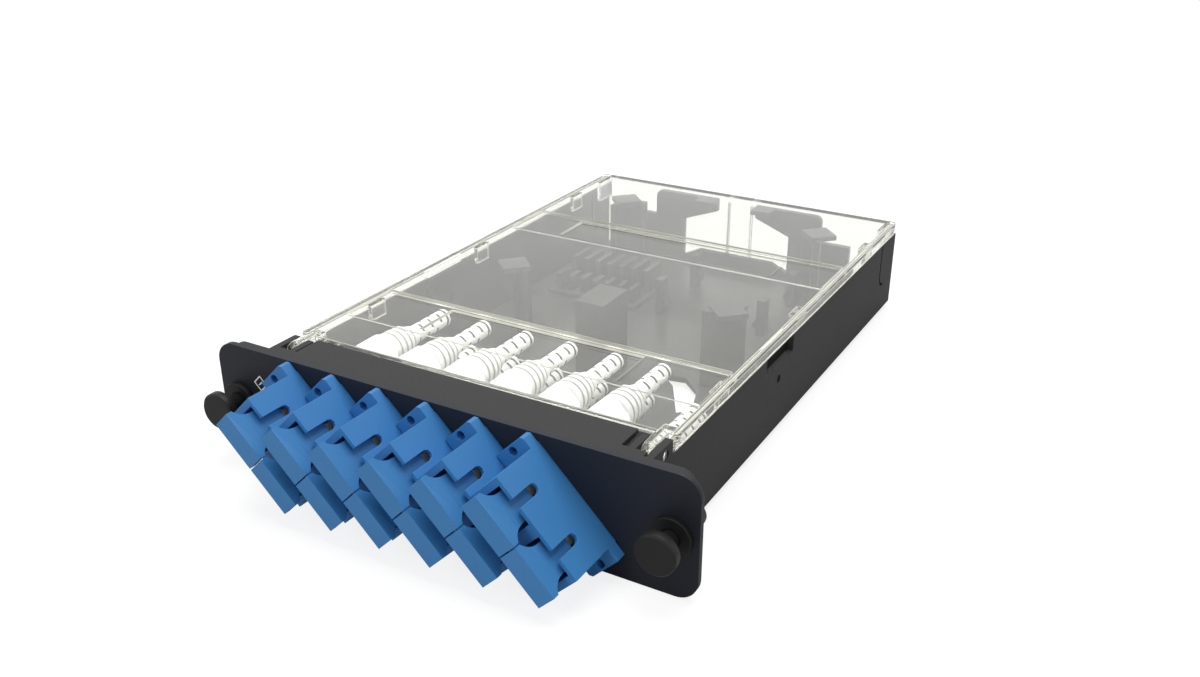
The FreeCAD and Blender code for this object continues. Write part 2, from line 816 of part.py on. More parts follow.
def latch_hook(middle, end):
    """One springy pair of hooks beside the barrel, a barb at each tip."""
    outer = f"({middle} + {end} * (port_long / 2 - holder_play))"
    inner = f"({outer} - {end} * hook_thick)"
    barb = f"({inner} - {end} * hook_barb)"
    far = f"({ADAPTER_MIDDLE} + hook_reach)"
    near = f"({ADAPTER_MIDDLE} - hook_reach)"
    outline = [
        (outer, near),
        (inner, near),
        (barb, f"{near} + hook_slope"),
        (inner, f"{near} + 2 * hook_slope"),
        (inner, f"{far} - 2 * hook_slope"),
        (barb, f"{far} - hook_slope"),
        (inner, far),
        (outer, far),
    ]
    return prism("XY", outline, ("-hook_wide / 2", "hook_wide / 2"))


def latch_holders(index):
    """The two inner holders of one adapter: a plate, the barrel for the sleeve and two pairs of hooks."""
    holders = []
    reach = (f"{ADAPTER_MIDDLE} - barrel_reach", f"{ADAPTER_MIDDLE} + barrel_reach")
    for port in (1, -1):
        middle = port_shift(port)
        half_plate = "(port_long / 2 - holder_play)"
        plate = box(
            (f"{middle} - {half_plate}", f"{middle} + {half_plate}"),
            (f"{ADAPTER_MIDDLE} - holder_thick / 2", f"{ADAPTER_MIDDLE} + holder_thick / 2"),
            ("-port_wide / 2 + holder_play", "port_wide / 2 - holder_play"),
        )
        barrel = light_rod("Y", "barrel_radius", reach, x=middle, sides=HIDDEN_SIDES)
        bore_span = (f"{reach[0]} - {PAST}", f"{reach[1]} + {PAST}")
        bore = light_rod("Y", "sleeve_radius + sleeve_play", bore_span, x=middle, sides=HIDDEN_SIDES)
        holders.append(cut(fuse([plate, barrel, latch_hook(middle, 1), latch_hook(middle, -1)]), [bore]))
    finish(fuse(holders), f"latch_holders_{index + 1}", adapter_place(index), "adapter_high", tilted=True)


def alignment_sleeves():
    sleeves = []
    span = (f"{ADAPTER_MIDDLE} - sleeve_long / 2", f"{ADAPTER_MIDDLE} + sleeve_long / 2")
    for index in range(ADAPTERS):
        for port in (1, -1):
            place = {"x": port_x(index, port), "z": port_z(port), "tilted": True, "sides": HIDDEN_SIDES}
            outer = light_rod("Y", "sleeve_radius", span, **place)
            sleeves.append(cut(outer, [light_rod("Y", "sleeve_bore", span, **place)]))
    finish(fuse(sleeves), "alignment_sleeves")


def dust_plug(index, port, place_in_row):
    """A plug with a finger grip: a lip, two round hollows behind it, and a shank in the port."""
    head = centred_box("plug_long", ("-plug_out", "-body_out"), "plug_wide")
    shank = centred_box("plug_shank", (f"-body_out - {PAST}", "-body_out + plug_in"), "plug_wide")
    hollow_depth = "-plug_out + plug_lip + sqrt(grip_radius ^ 2 - grip_offset ^ 2)"
    hollows = []
    for side in (1, -1):
        beside = f"{side} * (plug_long / 2 + grip_offset)"
        hollows.append(rod("Z", "grip_radius", ("-plug_wide", "plug_wide"), x=beside, y=hollow_depth))
    plug = fuse([cut(head, hollows), shank])
    finish(plug, f"dust_plug_{place_in_row}", port_x(index, port), port_z(port), tilted=True)


def connector(index, port, place_in_row):
    """A push-pull connector: nose, ribbed grip, key and ferrule."""
    nose = centred_box("nose_long", ("connector_front", f"grip_front + {PAST}"), "nose_wide")
    grip = centred_box("grip_long", ("grip_front", "grip_rear"), "grip_wide")
    key = box(
        ("-key_wide / 2", "key_wide / 2"),
        ("grip_front", "body_in - key_short"),
        (f"grip_wide / 2 - {SHARED}", "grip_wide / 2 + key_high"),
    )
    socket_end = f"grip_front + {PAST}"
    socket_span = (f"connector_front - {PAST}", socket_end)
    socket = light_rod("Y", "barrel_radius + socket_play", socket_span, sides=HIDDEN_SIDES)
    ferrule_span = (f"{ADAPTER_MIDDLE} + ferrule_gap", f"{socket_end} + {SHARED}")
    ferrule = light_rod("Y", "ferrule_radius", ferrule_span, sides=HIDDEN_SIDES)
    grooves = []
    for rib in range(GRIP_RIBS):
        start = f"body_in + rib_first + {rib} * rib_pitch"
        for side in (1, -1):
            span = side_span(side, "grip_long / 2 - rib_deep", "grip_long")
            grooves.append(box(span, (start, f"{start} + rib_pitch / 2"), ("-grip_wide", "grip_wide")))
    housing = cut(fuse([nose, grip, key]), [socket] + grooves)
    whole = fuse([housing, ferrule])
    finish(whole, f"connector_{place_in_row}", port_x(index, port), port_z(port), tilted=True)


def boot(index, port, place_in_row):
    """A soft bend-relief boot, kept plain: a square root and a round tail in two steps."""
    root = centred_box("boot_root", ("grip_rear", "boot_tail"), "boot_root")
    thick = light_rod("Y", "boot_thick", (f"boot_tail - {SHARED}", "boot_step"))
    thin = light_rod("Y", "boot_thin", (f"boot_step - {SHARED}", "boot_rear"))
    label = f"boot_{place_in_row}"
    finish(fuse([root, thick, thin]), label, port_x(index, port), port_z(port), tilted=True)


# Push-pull latches
def grommets():
    """The two collared sleeves of the latches, split at the back so that the pin spreads them."""
    pair = []
    for side in (1, -1):
        middle = f"{side} * {LATCH_PLACE}"
        where = {"x": middle, "z": "adapter_high"}
        collar = rod("Y", "collar_radius", ("-collar_thick", "0"), **where)
        neck = rod("Y", "neck_radius", ("-collar_thick / 2", FLANGE_BACK), **where)
        barrel = rod("Y", "barrel_outer", ("0", "barrel_end"), **where)
        through = (f"-collar_thick - {PAST}", f"barrel_end + {PAST}")
        bore = rod("Y", "pin_radius + pin_play", through, **where)
        split_span = (f"{FLANGE_BACK} + split_start", f"barrel_end + {PAST}")
        split = leaning_block("collar_radius", "(barrel_split / 2)", split_span, middle)
        pair.append(cut(fuse([collar, neck, barrel]), [bore, split]))
    finish(fuse(pair), "grommets")


def plunger(side, label):
    """The latch's pin, with the round knob that pushes and pulls it."""
    corners = [
        ("0", "-knob_front"),
        ("knob_radius - knob_chamfer", "-knob_front"),
        ("knob_radius", "-knob_front + knob_chamfer"),
        ("knob_radius", "-knob_front + knob_thick"),
        ("pin_radius", "-knob_front + knob_thick"),
        ("pin_radius", "pin_end"),
        ("0", "pin_end"),
    ]
    finish(turned(label, corners), label, f"{side} * {LATCH_PLACE}", "adapter_high")


# Splice comb
def splice_comb():
    base_top = f"{FLOOR_TOP} + comb_base"
    last_tooth = f"(tooth_first + {COMB_TEETH - 1} * tooth_pitch)"
    comb_right = f"{last_tooth} + tooth_thick / 2 + comb_edge"
    comb_deep = ("comb_front", "comb_front + comb_long")
    pieces = [box(("comb_left", comb_right), comb_deep, (FLOOR_TOP, base_top))]
    for tooth in range(COMB_TEETH):
        middle = f"tooth_first + {tooth} * tooth_pitch"
        along = (f"{middle} - tooth_thick / 2", f"{middle} + tooth_thick / 2")
        for row in ("front", "rear"):
            start = f"comb_front + {row}_tooth_place"
            deep = (start, f"{start} + {row}_tooth_long")
            pieces.append(box(along, deep, (FLOOR_TOP, f"{FLOOR_TOP} + {row}_tooth_high")))
    finish(fuse(pieces), "splice_comb")


def check_pieces():
    DOC.recompute()
    failed = [thing.Name for thing in DOC.Objects if {"Invalid", "Error"} & set(thing.State)]
    if failed:
        raise RuntimeError(f"failed objects: {failed}")
    for piece in FINISHED:
        if piece.Shape.isNull() or not piece.Shape.isValid() or not piece.Shape.Solids:
            raise RuntimeError(f"bad shape: {piece.Label}")


def export_pieces():
    os.makedirs("parts", exist_ok=True)
    for piece in FINISHED:
        piece.Shape.exportStep(f"parts/{piece.Label}.step")
        print(piece.Label, len(piece.Shape.Solids), round(piece.Shape.Volume, 1))


front_plate()
base_tray()
cover()
for place in range(ADAPTERS):
    adapter(place)
    latch_holders(place)
    for row, way in enumerate((1, -1)):
        count = 2 * place + row + 1
        dust_plug(place, way, count)
        connector(place, way, count)
        boot(place, way, count)
alignment_sleeves()
grommets()
plunger(-1, "left_plunger")
plunger(1, "right_plunger")
splice_comb()
check_pieces()
export_pieces()
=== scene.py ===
import math

import bpy
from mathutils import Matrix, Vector


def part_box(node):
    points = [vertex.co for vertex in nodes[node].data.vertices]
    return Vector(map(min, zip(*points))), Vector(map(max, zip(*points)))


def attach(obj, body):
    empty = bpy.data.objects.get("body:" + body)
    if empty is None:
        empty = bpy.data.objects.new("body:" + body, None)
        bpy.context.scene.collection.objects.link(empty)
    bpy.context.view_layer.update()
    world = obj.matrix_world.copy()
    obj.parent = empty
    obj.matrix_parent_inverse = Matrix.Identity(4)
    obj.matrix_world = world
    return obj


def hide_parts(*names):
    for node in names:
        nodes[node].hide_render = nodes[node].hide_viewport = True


# Looks of the fibre cassette: procedural plastics on the fixed model, ribbed boots, round connectors,
# a printed mark, notch strips, a pale floor, soft light and a camera. Metres, in the model's own frame.

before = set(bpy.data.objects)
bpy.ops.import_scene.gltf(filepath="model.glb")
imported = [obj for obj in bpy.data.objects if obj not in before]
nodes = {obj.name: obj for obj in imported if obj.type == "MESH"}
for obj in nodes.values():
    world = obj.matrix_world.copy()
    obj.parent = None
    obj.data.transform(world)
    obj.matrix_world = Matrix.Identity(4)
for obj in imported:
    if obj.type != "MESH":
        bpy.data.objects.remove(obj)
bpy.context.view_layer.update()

MM = 0.001
SAME = 1e-9
LEAN = math.sqrt(0.5)
CORNERS = ((-1, -1), (1, -1), (1, 1), (-1, 1))
BOX_FACES = ((0, 1, 2, 3), (7, 6, 5, 4), (0, 4, 5, 1), (1, 5, 6, 2), (2, 6, 7, 3), (3, 7, 4, 0))
WELD_REACH = 1e-6
SHARP_EDGE = math.radians(35)
SHARP_PIECE = math.radians(40)
ADAPTERS = range(1, 7)
PORTS = range(1, 13)


# Node helpers
class Nodes:
    """A material or world node tree, with short ways to add nodes and links."""

    def __init__(self, owner):
        owner.use_nodes = True
        self.tree = owner.node_tree
        self.tree.nodes.clear()

    def add(self, kind, **settings):
        node = self.tree.nodes.new(kind)
        for name, value in settings.items():
            setattr(node, name, value)
        return node

    def link(self, source, target):
        self.tree.links.new(source, target)

    def noise(self, place, scale, detail=2.0):
        texture = self.add("ShaderNodeTexNoise")
        texture.inputs["Scale"].default_value = scale
        texture.inputs["Detail"].default_value = detail
        self.link(place, texture.inputs["Vector"])
        return texture.outputs["Fac"]

    def between(self, value, start, stop, low, high):
        """Turns a value that runs from start to stop into one that runs from low to high."""
        rescale = self.add("ShaderNodeMapRange")
        for name, number in zip(("From Min", "From Max", "To Min", "To Max"), (start, stop, low, high)):
            rescale.inputs[name].default_value = number
        self.link(value, rescale.inputs["Value"])
        return rescale.outputs["Result"]

    def two_tone(self, value, dark, light):
        mix = self.add("ShaderNodeMix", data_type="RGBA")
        self.link(value, mix.inputs["Factor"])
        mix.inputs["A"].default_value = (*dark, 1)
        mix.inputs["B"].default_value = (*light, 1)
        return mix.outputs["Result"]

    def bump(self, height, strength, distance):
        bump = self.add("ShaderNodeBump")
        bump.inputs["Strength"].default_value = strength
        bump.inputs["Distance"].default_value = distance
        self.link(height, bump.inputs["Height"])
        return bump.outputs["Normal"]

    def blend(self, factor, first, second):
        """The first shader where the factor is 0 and the second where it is 1."""
        mix = self.add("ShaderNodeMixShader")
        self.link(factor, mix.inputs[0])
        self.link(first, mix.inputs[1])
        self.link(second, mix.inputs[2])
        return mix.outputs[0]

    def finish(self, shader, kind="ShaderNodeOutputMaterial"):
        self.link(shader, self.add(kind).inputs["Surface"])


# Grain of the plastics: how fine the slow drift is, the band of a noise's values that is used, how far the
# roughness follows it and how deep the bump is, and the same for the clear plastic and the cloud in it
DRIFT_SCALE = 55.0
NOISE_BAND = (0.3, 0.7)
ROUGH_SHIFT = 0.1
BUMP_DEPTH = 0.02 * MM
CLOUD_SCALE = 60.0
CLOUD_SHIFT = 0.2
GLASS_GRAIN = 900.0
GLASS_ROUGH = 0.03
GLASS_IOR = 1.49
CLEAR_TINT = (0.985, 0.985, 0.955)
GLOSS_TINT = (1.0, 1.0, 0.92)

# Where the tray is smooth inside: half of the width, the middle and half of the depth and of the height,
# and the share of the roughness that is left there
INSIDE_HALF = 50.15 * MM
INSIDE_DEEP = (16.0 * MM, 76.5 * MM)
INSIDE_HIGH = (14.8 * MM, 12.0 * MM)
INSIDE_SHARE = 0.33


def inside_tray(tree, place):
    """1 on the tray's inner faces and 0 outside."""
    split = tree.add("ShaderNodeSeparateXYZ")
    tree.link(place, split.inputs[0])
    value = None
    for axis, centre, half in (("X", 0.0, INSIDE_HALF), ("Y", *INSIDE_DEEP), ("Z", *INSIDE_HIGH)):
        near = tree.add("ShaderNodeMath", operation="COMPARE")
        tree.link(split.outputs[axis], near.inputs[0])
        near.inputs[1].default_value = centre
        near.inputs[2].default_value = half
        if value is None:
            value = near.outputs[0]
        else:
            both = tree.add("ShaderNodeMath", operation="MULTIPLY")
            tree.link(value, both.inputs[0])
            tree.link(near.outputs[0], both.inputs[1])
            value = both.outputs[0]
    return value


def moulded(name, colour, rough, grain=2600.0, strength=0.25, specular=0.5, vary=0.06, smooth_inside=False):
    """Moulded plastic or paint: a fine grain in the surface, and a slow drift in colour and gloss."""
    material = bpy.data.materials.new(name)
    tree = Nodes(material)
    place = tree.add("ShaderNodeTexCoord").outputs["Object"]
    shader = tree.add("ShaderNodeBsdfPrincipled")
    slow = tree.noise(place, DRIFT_SCALE, detail=3.0)
    fine = tree.noise(place, grain)
    dark = tuple(c * (1 - vary) for c in colour)
    light = tuple(min(1.0, c * (1 + vary)) for c in colour)
    tree.link(tree.two_tone(slow, dark, light), shader.inputs["Base Color"])
    roughness = tree.between(fine, *NOISE_BAND, rough * (1 - ROUGH_SHIFT), rough * (1 + ROUGH_SHIFT))
    if smooth_inside:
        factor = tree.between(inside_tray(tree, place), 0.0, 1.0, 1.0, INSIDE_SHARE)
        scaled = tree.add("ShaderNodeMath", operation="MULTIPLY")
        tree.link(roughness, scaled.inputs[0])
        tree.link(factor, scaled.inputs[1])
        roughness = scaled.outputs[0]
    tree.link(roughness, shader.inputs["Roughness"])
    tree.link(tree.bump(fine, strength, BUMP_DEPTH), shader.inputs["Normal"])
    shader.inputs["Specular IOR Level"].default_value = specular
    tree.finish(shader.outputs["BSDF"])
    return material


def clear_plastic(name, cloud_tint, cloud_share):
    """Clear plastic with a warm tint, some cloud in it and hardly any grain."""
    material = bpy.data.materials.new(name)
    tree = Nodes(material)
    place = tree.add("ShaderNodeTexCoord").outputs["Object"]
    glass = tree.add("ShaderNodeBsdfPrincipled")
    glass.inputs["Base Color"].default_value = (*CLEAR_TINT, 1)
    glass.inputs["Transmission Weight"].default_value = 1.0
    glass.inputs["IOR"].default_value = GLASS_IOR
    glass.inputs["Specular Tint"].default_value = (*GLOSS_TINT, 1)
    roughness = tree.between(tree.noise(place, GLASS_GRAIN), *NOISE_BAND, 0.0, GLASS_ROUGH)
    tree.link(roughness, glass.inputs["Roughness"])
    cloud = tree.add("ShaderNodeBsdfDiffuse")
    cloud.inputs["Color"].default_value = (*cloud_tint, 1)
    thin, thick = cloud_share * (1 - CLOUD_SHIFT), cloud_share * (1 + CLOUD_SHIFT)
    share = tree.between(tree.noise(place, CLOUD_SCALE), *NOISE_BAND, thin, thick)
    tree.finish(tree.blend(share, glass.outputs["BSDF"], cloud.outputs[0]))
    return material


def dress(names, material):
    for name in names:
        mesh = nodes[name].data
        mesh.materials.clear()
        mesh.materials.append(material)


def soften(names, width, segments=2, edge_material=-1, clamp=True):
    """Rounds the sharp edges of the model's nodes a little, as a mould does."""
    for name in names:
        weld = nodes[name].modifiers.new("weld", "WELD")
        weld.merge_threshold = WELD_REACH
        bevel = nodes[name].modifiers.new("soften", "BEVEL")
        bevel.width = width
        bevel.segments = segments
        bevel.limit_method = "ANGLE"
        bevel.angle_limit = SHARP_EDGE
        bevel.harden_normals = True
        bevel.material = edge_material
        bevel.use_clamp_overlap = clamp


def add_piece(name, points, faces, material, body, smooth=False):
    """A mesh piece that moves with a body of the model."""
    mesh = bpy.data.meshes.new(name)
    mesh.from_pydata(points, [], faces)
    mesh.update()
    if smooth:
        mesh.shade_smooth()
        mesh.set_sharp_from_angle(angle=SHARP_PIECE)
    mesh.materials.append(material)
    piece = bpy.data.objects.new(name, mesh)
    bpy.context.scene.collection.objects.link(piece)
    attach(piece, body)
    return piece


# Materials, and the cloud in the cover's faces, and the heavier cream cloud in its rounded edges: the
# edges' cream tint, with painted highlight lines along them
CLOUD_TINT = (0.95, 0.955, 0.91)
CLOUD_SHARE = 0.03
EDGE_HIGHLIGHT_TINT = (0.9, 0.9, 0.78)
EDGE_HIGHLIGHT_SHARE = 0.42

tray_plastic = moulded("tray_plastic", (0.034, 0.034, 0.034), 0.6, specular=0.2, smooth_inside=True)
plate_paint = moulded("plate_paint", (0.011, 0.0125, 0.019), 0.5, grain=3600.0, specular=0.3)
latch_plastic = moulded("latch_plastic", (0.013, 0.013, 0.0125), 0.42, specular=0.22)
adapter_blue = moulded("adapter_blue", (0.045, 0.2, 0.47), 0.46, specular=0.3)
plug_blue = moulded("plug_blue", (0.045, 0.2, 0.46), 0.42, specular=0.3)
connector_white = moulded("connector_white", (0.84, 0.84, 0.82), 0.35)
boot_white = moulded("boot_white", (0.84, 0.84, 0.82), 0.55)
# Painted shade for the boots: near black in the tail's slots, the end ring and the bore's end, mid grey in
# the root's ribs
boot_slot_painted_shade = moulded("boot_slot_painted_shade", (0.1, 0.1, 0.1), 0.7)
boot_groove_painted_shade = moulded("boot_groove_painted_shade", (0.5, 0.5, 0.48), 0.7)
# Near black that paints the shade in the notches of the side walls
recess_painted_shade = moulded("recess_painted_shade", (0.008, 0.008, 0.008), 0.75, specular=0.1)
holder_beige = moulded("holder_beige", (0.6, 0.54, 0.47), 0.4)
sleeve_ceramic = moulded("sleeve_ceramic", (0.85, 0.85, 0.82), 0.15)
print_white = moulded("print_white", (0.75, 0.75, 0.75), 0.6)
clear_cover = clear_plastic("clear_cover", CLOUD_TINT, CLOUD_SHARE)
clear_edge_highlight = clear_plastic("clear_edge_highlight", EDGE_HIGHLIGHT_TINT, EDGE_HIGHLIGHT_SHARE)

dress(["base_tray", "splice_comb"], tray_plastic)
dress(["front_plate"], plate_paint)
dress(["grommets", "left_plunger", "right_plunger"], latch_plastic)
dress([f"adapter_{n}" for n in ADAPTERS], adapter_blue)
dress([f"latch_holders_{n}" for n in ADAPTERS], holder_beige)
dress([f"dust_plug_{n}" for n in PORTS], plug_blue)
dress(["alignment_sleeves"], sleeve_ceramic)
dress(["cover"], clear_cover)
nodes["cover"].data.materials.append(clear_edge_highlight)
nodes["cover"].visible_shadow = False

soften(["base_tray", "front_plate", "splice_comb"], 0.2 * MM)
# The cover's rounded edges take its second material, the cream cloud that paints highlight lines along them
soften(["cover"], 0.24 * MM, edge_material=1, clamp=False)
soften([f"adapter_{n}" for n in ADAPTERS], 0.12 * MM)
soften([f"dust_plug_{n}" for n in PORTS], 0.18 * MM)
soften(["grommets", "left_plunger", "right_plunger"], 0.3 * MM, 3)

# Connectors: a grip with round corners, nose, socket, ferrule and key, and a boot with a wide ribbed root,
# a tail slotted in turn on two sides, and a ring at the end. Depths count from the model's grip end.
# SKIN is the boot's profile, as depths and radii in millimetres. NOSE and the three GRIP sizes are halves
# across and above the axis, and the corner's radius.
RING_SIDES = 32
JOIN = -3.5 * MM
BOOT_SHORT = 2.0 * MM
BORE_RADIUS = 0.9 * MM
BORE_DEEP = 3.0 * MM
SKIN = [(-3.5, 4.4), (1.0, 4.3), (4.0, 3.8), (7.0, 2.65), (9.0, 2.3), (24.0, 2.15)]
RIB_FIRST = -1.6 * MM
RIB_PITCH = 2.1 * MM
RIBS = 4
SLOT_FIRST = 8.2 * MM
SLOT_PITCH = 1.9 * MM
SLOTS = 6
RING_BACK = 1.6 * MM
GROOVE_WIDE = 0.7 * MM
GROOVE_DEEP = 0.45 * MM
GROOVE_FLOOR = 0.5
GROOVE_MOUTH = 0.6
SLOT_SPREAD = 1.3
TIP_EDGE = 0.4 * MM
PLAIN, GROOVED, SLOTTED = range(3)
NOSE_FRONT = -31.4 * MM
GRIP_FRONT = -26.6 * MM
FERRULE_RADIUS = 1.25 * MM
FERRULE_EDGE = 0.15 * MM
SOCKET_RADIUS = 2.2 * MM
NOSE = (3.7 * MM, 3.0 * MM, 0.5 * MM)
GRIP = (4.45 * MM, 3.5 * MM, 1.0 * MM)
GRIP_WAIST = (3.95 * MM, 3.5 * MM, 1.0 * MM)
GRIP_END = (4.2 * MM, 3.5 * MM, 2.6 * MM)
GRIP_TAPER = 1.6 * MM
WAISTS = [(-17.0 * MM, -15.5 * MM), (-14.0 * MM, -12.5 * MM)]
WAIST_EDGE = 0.15 * MM
KEY_HALF = 1.05 * MM
KEY_REAR = -20.4 * MM
KEY_LOW = 3.4 * MM
KEY_TOP = 4.3 * MM


def ring_angle(side):
    return 2 * math.pi * (side + 0.5) / RING_SIDES


def round_ring(depth, radius):
    angles = [ring_angle(side) for side in range(RING_SIDES)]
    return [(radius * math.cos(angle), depth, radius * math.sin(angle)) for angle in angles]


def square_ring(depth, half_long, half_wide, corner):
    """A ring around a rectangle with round corners."""
    ring = []
    for side in range(RING_SIDES):
        angle = ring_angle(side)
        across = math.copysign(half_long - corner, math.cos(angle)) + corner * math.cos(angle)
        above = math.copysign(half_wide - corner, math.sin(angle)) + corner * math.sin(angle)
        ring.append((across, depth, above))
    return ring


def skin_faces(rings):
    """Faces along rings in order, and a face over the first and the last."""
    faces = []
    for ring in range(rings - 1):
        for side in range(RING_SIDES):
            after = (side + 1) % RING_SIDES
            start, stop = ring * RING_SIDES, (ring + 1) * RING_SIDES
            faces.append((start + side, stop + side, stop + after, start + after))
    faces.append(tuple(range(RING_SIDES)))
    faces.append(tuple(reversed(range((rings - 1) * RING_SIDES, rings * RING_SIDES))))
    return faces


def port_axis(number):
    """The middle of a port's connector, and the depth where its grip ends in the model."""
    low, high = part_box(f"boot_{number}")
    return (low[0] + high[0]) / 2, low[1], (low[2] + high[2]) / 2


def lean(point, axis):
    """A point of a connector, turned with its adapter and put on its axis."""
    across, depth, above = point
    return (axis[0] + (across + above) * LEAN, axis[1] + depth, axis[2] + (above - across) * LEAN)


def skin_radius(depth):
    """The boot's outer radius at a depth."""
    for (start, wide), (stop, narrow) in zip(SKIN, SKIN[1:]):
        if depth <= stop * MM + SAME or stop == SKIN[-1][0]:
            return (wide + (narrow - wide) * (depth / MM - start) / (stop - start)) * MM


def has_groove(sides, angle):
    """Whether a groove on those sides of the boot reaches this angle."""
    if sides == "all":
        return True
    turned = angle if sides == "flanks" else angle + math.pi / 2
    return abs(math.cos(turned)) > abs(math.sin(turned)) * SLOT_SPREAD


def boot_stations(length):
    """Rings from root to tip as (depth, how deep the groove is there, which sides have it)."""
    stations = [(JOIN, 0.0, "all")]

    def groove(middle, sides):
        for step in (-GROOVE_MOUTH, -GROOVE_FLOOR, GROOVE_FLOOR, GROOVE_MOUTH):
            deep = GROOVE_DEEP if abs(step) == GROOVE_FLOOR else 0.0
            stations.append((middle + step * GROOVE_WIDE, deep, sides))

    for rib in range(RIBS):
        groove(RIB_FIRST + rib * RIB_PITCH, "all")
    for slot in range(SLOTS):
        groove(SLOT_FIRST + slot * SLOT_PITCH, ("flanks", "top")[slot % 2])
    groove(length - RING_BACK, "all")
    stations.append((length - TIP_EDGE, 0.0, "all"))
    return stations


def make_boot(number):
    """A boot as one skin from its root over its tip into its bore, with painted shade in its grooves and
    slots.
    """
    low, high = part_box(f"boot_{number}")
    length = high[1] - low[1] - BOOT_SHORT
    rings, sunk = [], []
    for depth, groove, sides in boot_stations(length):
        radius = skin_radius(depth)
        cut = [groove > 0 and has_groove(sides, ring_angle(side)) for side in range(RING_SIDES)]
        outer, inner = round_ring(depth, radius), round_ring(depth, radius - groove)
        rings.append([inner[side] if cut[side] else outer[side] for side in range(RING_SIDES)])
        sunk.append(cut)
    tip = skin_radius(length) - TIP_EDGE
    for radius, depth in ((tip, length), (BORE_RADIUS, length), (BORE_RADIUS, length - BORE_DEEP)):
        rings.append(round_ring(depth, radius))
        sunk.append([False] * RING_SIDES)
    shades = []
    for ring in range(len(rings) - 1):
        # Faces in the tail's slots and ring get the near black painted shade, faces in the root's ribs the
        # grey painted shade
        groove_shade = SLOTTED if rings[ring][0][1] > SLOT_FIRST - GROOVE_WIDE else GROOVED
        for side in range(RING_SIDES):
            shades.append(groove_shade if sunk[ring][side] or sunk[ring + 1][side] else PLAIN)
    shades += [PLAIN, SLOTTED]
    axis = port_axis(number)
    points = [lean(point, axis) for ring in rings for point in ring]
    faces = skin_faces(len(rings))
    name = f"ribbed_boot_{number}"
    piece = add_piece(name, points, faces, boot_white, "cassette", smooth=True)
    piece.data.materials.append(boot_groove_painted_shade)
    piece.data.materials.append(boot_slot_painted_shade)
    piece.data.polygons.foreach_set("material_index", shades)
    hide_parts(f"boot_{number}")


def make_connector(number):
    """A connector as one skin from its ferrule's tip to its grip's end, with its key as a block."""
    axis = port_axis(number)
    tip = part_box(f"connector_{number}")[0][1] - axis[1]
    rings = [
        round_ring(tip, FERRULE_RADIUS - FERRULE_EDGE),
        round_ring(tip + FERRULE_EDGE, FERRULE_RADIUS),
        round_ring(GRIP_FRONT, FERRULE_RADIUS),
        round_ring(GRIP_FRONT, SOCKET_RADIUS),
        round_ring(NOSE_FRONT, SOCKET_RADIUS),
        square_ring(NOSE_FRONT, *NOSE),
        square_ring(GRIP_FRONT, *NOSE),
        square_ring(GRIP_FRONT, *GRIP),
    ]
    for start, stop in WAISTS:
        rings.append(square_ring(start, *GRIP))
        rings.append(square_ring(start + WAIST_EDGE, *GRIP_WAIST))
        rings.append(square_ring(stop - WAIST_EDGE, *GRIP_WAIST))
        rings.append(square_ring(stop, *GRIP))
    rings.append(square_ring(JOIN - GRIP_TAPER, *GRIP))
    rings.append(square_ring(JOIN, *GRIP_END))
    points = [point for ring in rings for point in ring]
    faces = skin_faces(len(rings))
    first = len(points)
    for depth in (GRIP_FRONT, KEY_REAR):
        for across, above in ((-1, KEY_LOW), (1, KEY_LOW), (1, KEY_TOP), (-1, KEY_TOP)):
            points.append((across * KEY_HALF, depth, above))
    for face in BOX_FACES:
        faces.append(tuple(first + corner for corner in face))
    points = [lean(point, axis) for point in points]
    name = f"round_connector_{number}"
    piece = add_piece(name, points, faces, connector_white, "cassette", smooth=True)
    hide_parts(f"connector_{number}")


for number in PORTS:
    make_boot(number)
    make_connector(number)

# Printed mark by the first port: a square outline that leans like the adapters, with a plain bar in it
MARK_MIDDLE = (-51.65 * MM, 20.45 * MM)
MARK_HALF = 1.35 * MM
MARK_LINE = 0.16 * MM
MARK_HIGH = 0.03 * MM
PLATE_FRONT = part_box("front_plate")[0][1]


def leaning_bar(along, across, half_long, half_wide):
    """Corners of a thin bar printed on the plate, placed along the two leaning directions."""
    corners = []
    for depth in (PLATE_FRONT - MARK_HIGH, PLATE_FRONT + MARK_HIGH):
        for u, v in CORNERS:
            a, b = along + u * half_long, across + v * half_wide
            corners.append((MARK_MIDDLE[0] + (a + b) * LEAN, depth, MARK_MIDDLE[1] + (b - a) * LEAN))
    return corners


bars = [
    (0.0, MARK_HALF, MARK_HALF + MARK_LINE, MARK_LINE),
    (0.0, -MARK_HALF, MARK_HALF + MARK_LINE, MARK_LINE),
    (MARK_HALF, 0.0, MARK_LINE, MARK_HALF - MARK_LINE),
    (-MARK_HALF, 0.0, MARK_LINE, MARK_HALF - MARK_LINE),
    (0.0, 0.0, MARK_LINE, MARK_HALF / 2),
]
mark_points, mark_faces = [], []
for bar in bars:
    first = len(mark_points)
    mark_points += leaning_bar(*bar)
    for face in BOX_FACES:
        mark_faces.append(tuple(first + corner for corner in face))
add_piece("printed_mark", mark_points, mark_faces, print_white, "cassette")

# Strips that close the notches in the side walls from inside, up to the wall's own height, near black as
# painted shade in the notches
NOTCH_FRONT = -9.35 * MM
NOTCH_REAR = 8.05 * MM
NOTCH_LOW = 19.85 * MM
NOTCH_TOP = 24.25 * MM
STRIP_INNER = 48.95 * MM
STRIP_OUTER = 50.3 * MM
STRIP_CHAMFER = 0.15 * MM


